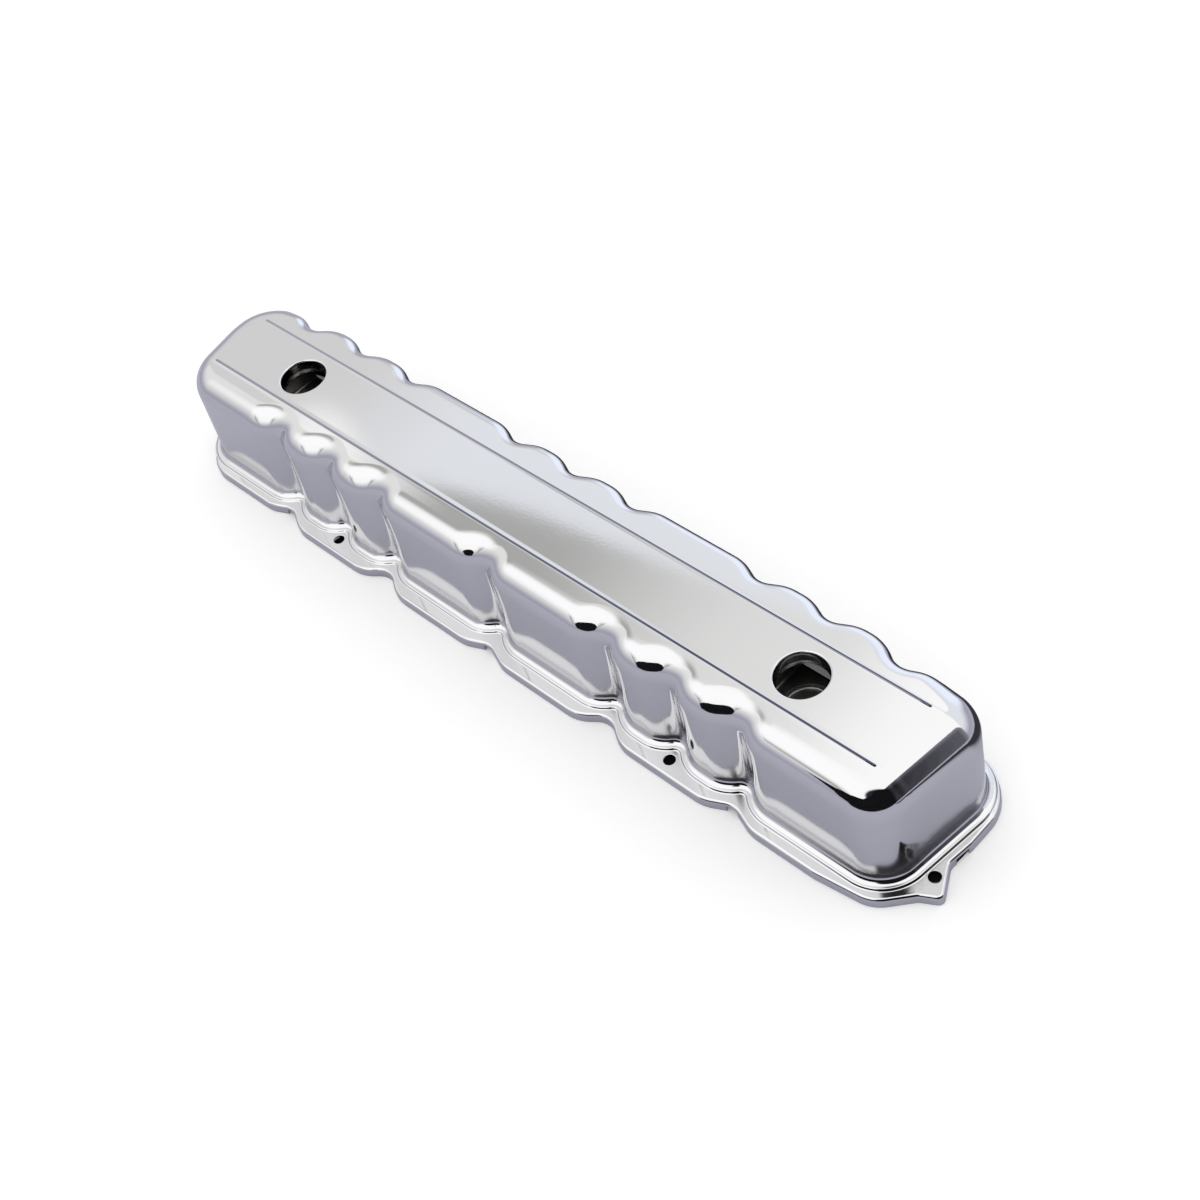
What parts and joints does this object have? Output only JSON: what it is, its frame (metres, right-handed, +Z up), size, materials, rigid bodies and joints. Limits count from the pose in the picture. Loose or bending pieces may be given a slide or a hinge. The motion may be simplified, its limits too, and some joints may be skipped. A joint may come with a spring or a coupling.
{
  "type": "engine valve cover",
  "caption": "Pressed steel valve cover with scalloped sides, two ribs on top, two round cap holes, a bolting flange with a turned-down rim and a baffle under each hole",
  "frame": {"origin": "on the plane of the rim's lower edge, at the middle of the whole outline", "axes": "+X along the cover to the end with the eared corner, +Z up through the flat top, -Y towards the long side that the eared corner is on"},
  "size_m": [0.667, 0.13, 0.0818],
  "materials": {
    "cover_chrome": "bright decorative plating over smooth pressed steel",
    "baffle_steel": "plain mill steel"
  },
  "bodies": {
    "root": {"valve_cover": "cover_chrome", "splash_baffle_front": "baffle_steel", "splash_baffle_rear": "baffle_steel"}
  },
  "joints": []
}
